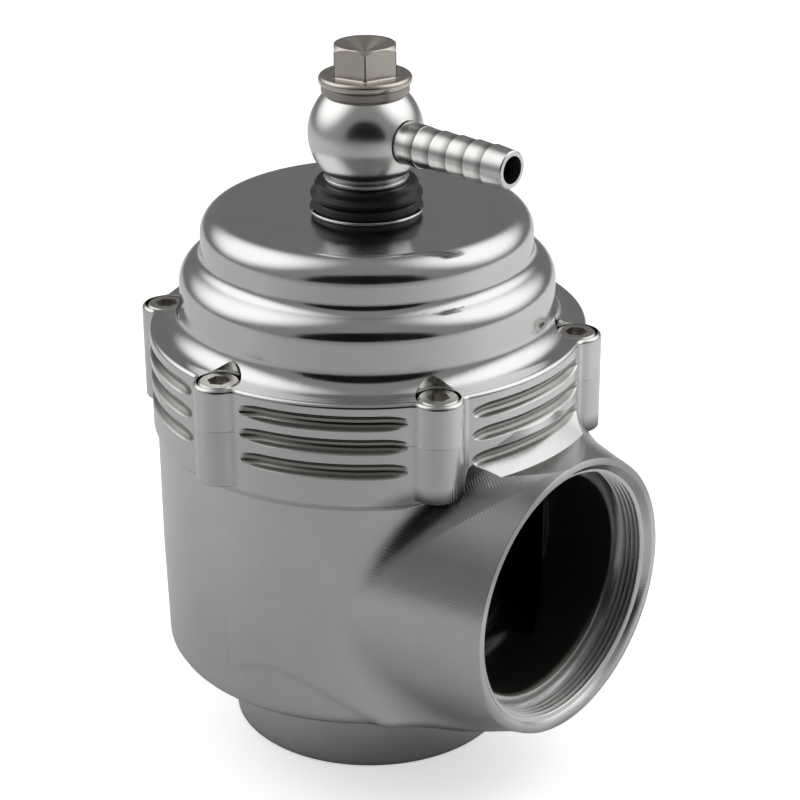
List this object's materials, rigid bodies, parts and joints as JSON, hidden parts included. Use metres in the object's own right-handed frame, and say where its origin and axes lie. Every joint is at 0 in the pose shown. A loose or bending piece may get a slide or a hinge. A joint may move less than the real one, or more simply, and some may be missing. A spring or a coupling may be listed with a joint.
{
  "type": "blow off valve",
  "caption": "Diaphragm blow off valve with a plain inlet spigot below, a threaded outlet boss at the side, a finned clamp flange and a swivelling banjo hose barb on top.",
  "frame": {"origin": "centre of the inlet spigot's lower face", "axes": "+Z along the valve's axis, up to the banjo fitting; +X along the outlet boss, out of its mouth"},
  "size_m": [0.0868, 0.0846, 0.1297],
  "materials": {
    "body_metal": "satin machined",
    "cap_metal": "satin turned",
    "fitting_metal": "bright turned",
    "black_anodised": "satin black",
    "stainless": "turned",
    "screw_steel": "polished",
    "washer_metal": "bright",
    "plain_metal": "machined",
    "bronze": "turned",
    "rubber": "matte",
    "spring_steel": "drawn wire"
  },
  "bodies": {
    "housing": {"valve_body": "body_metal", "cap": "cap_metal", "cap_screws": "screw_steel", "guide_plate": "plain_metal", "guide_bush": "bronze", "stem_seal": "rubber", "diaphragm": "rubber", "spring": "spring_steel", "collar": "black_anodised", "collar_seal": "rubber", "lower_washer": "washer_metal", "upper_washer": "washer_metal", "banjo_bolt": "stainless"},
    "valve": {"stem": "stainless", "valve_head": "plain_metal", "valve_seal": "rubber", "valve_washer": "screw_steel", "valve_nut": "screw_steel", "lower_plate": "plain_metal", "upper_plate": "plain_metal", "stem_washer": "screw_steel", "stem_nut": "screw_steel"},
    "banjo": {"banjo_ball": "fitting_metal", "hose_barb": "fitting_metal"}
  },
  "joints": [
    {"name": "valve_lift", "type": "slide", "parent": "housing", "child": "valve", "axis": [0, 0, 1], "range_m": [0, 0.008], "stiffness_N_per_m": 4000, "springref_m": -0.01, "deforming": ["spring", "diaphragm"]},
    {"name": "banjo_swivel", "type": "hinge", "parent": "housing", "child": "banjo", "pos_m": [0, 0, 0.1138], "axis": [0, 0, 1], "continuous": true}
  ]
}
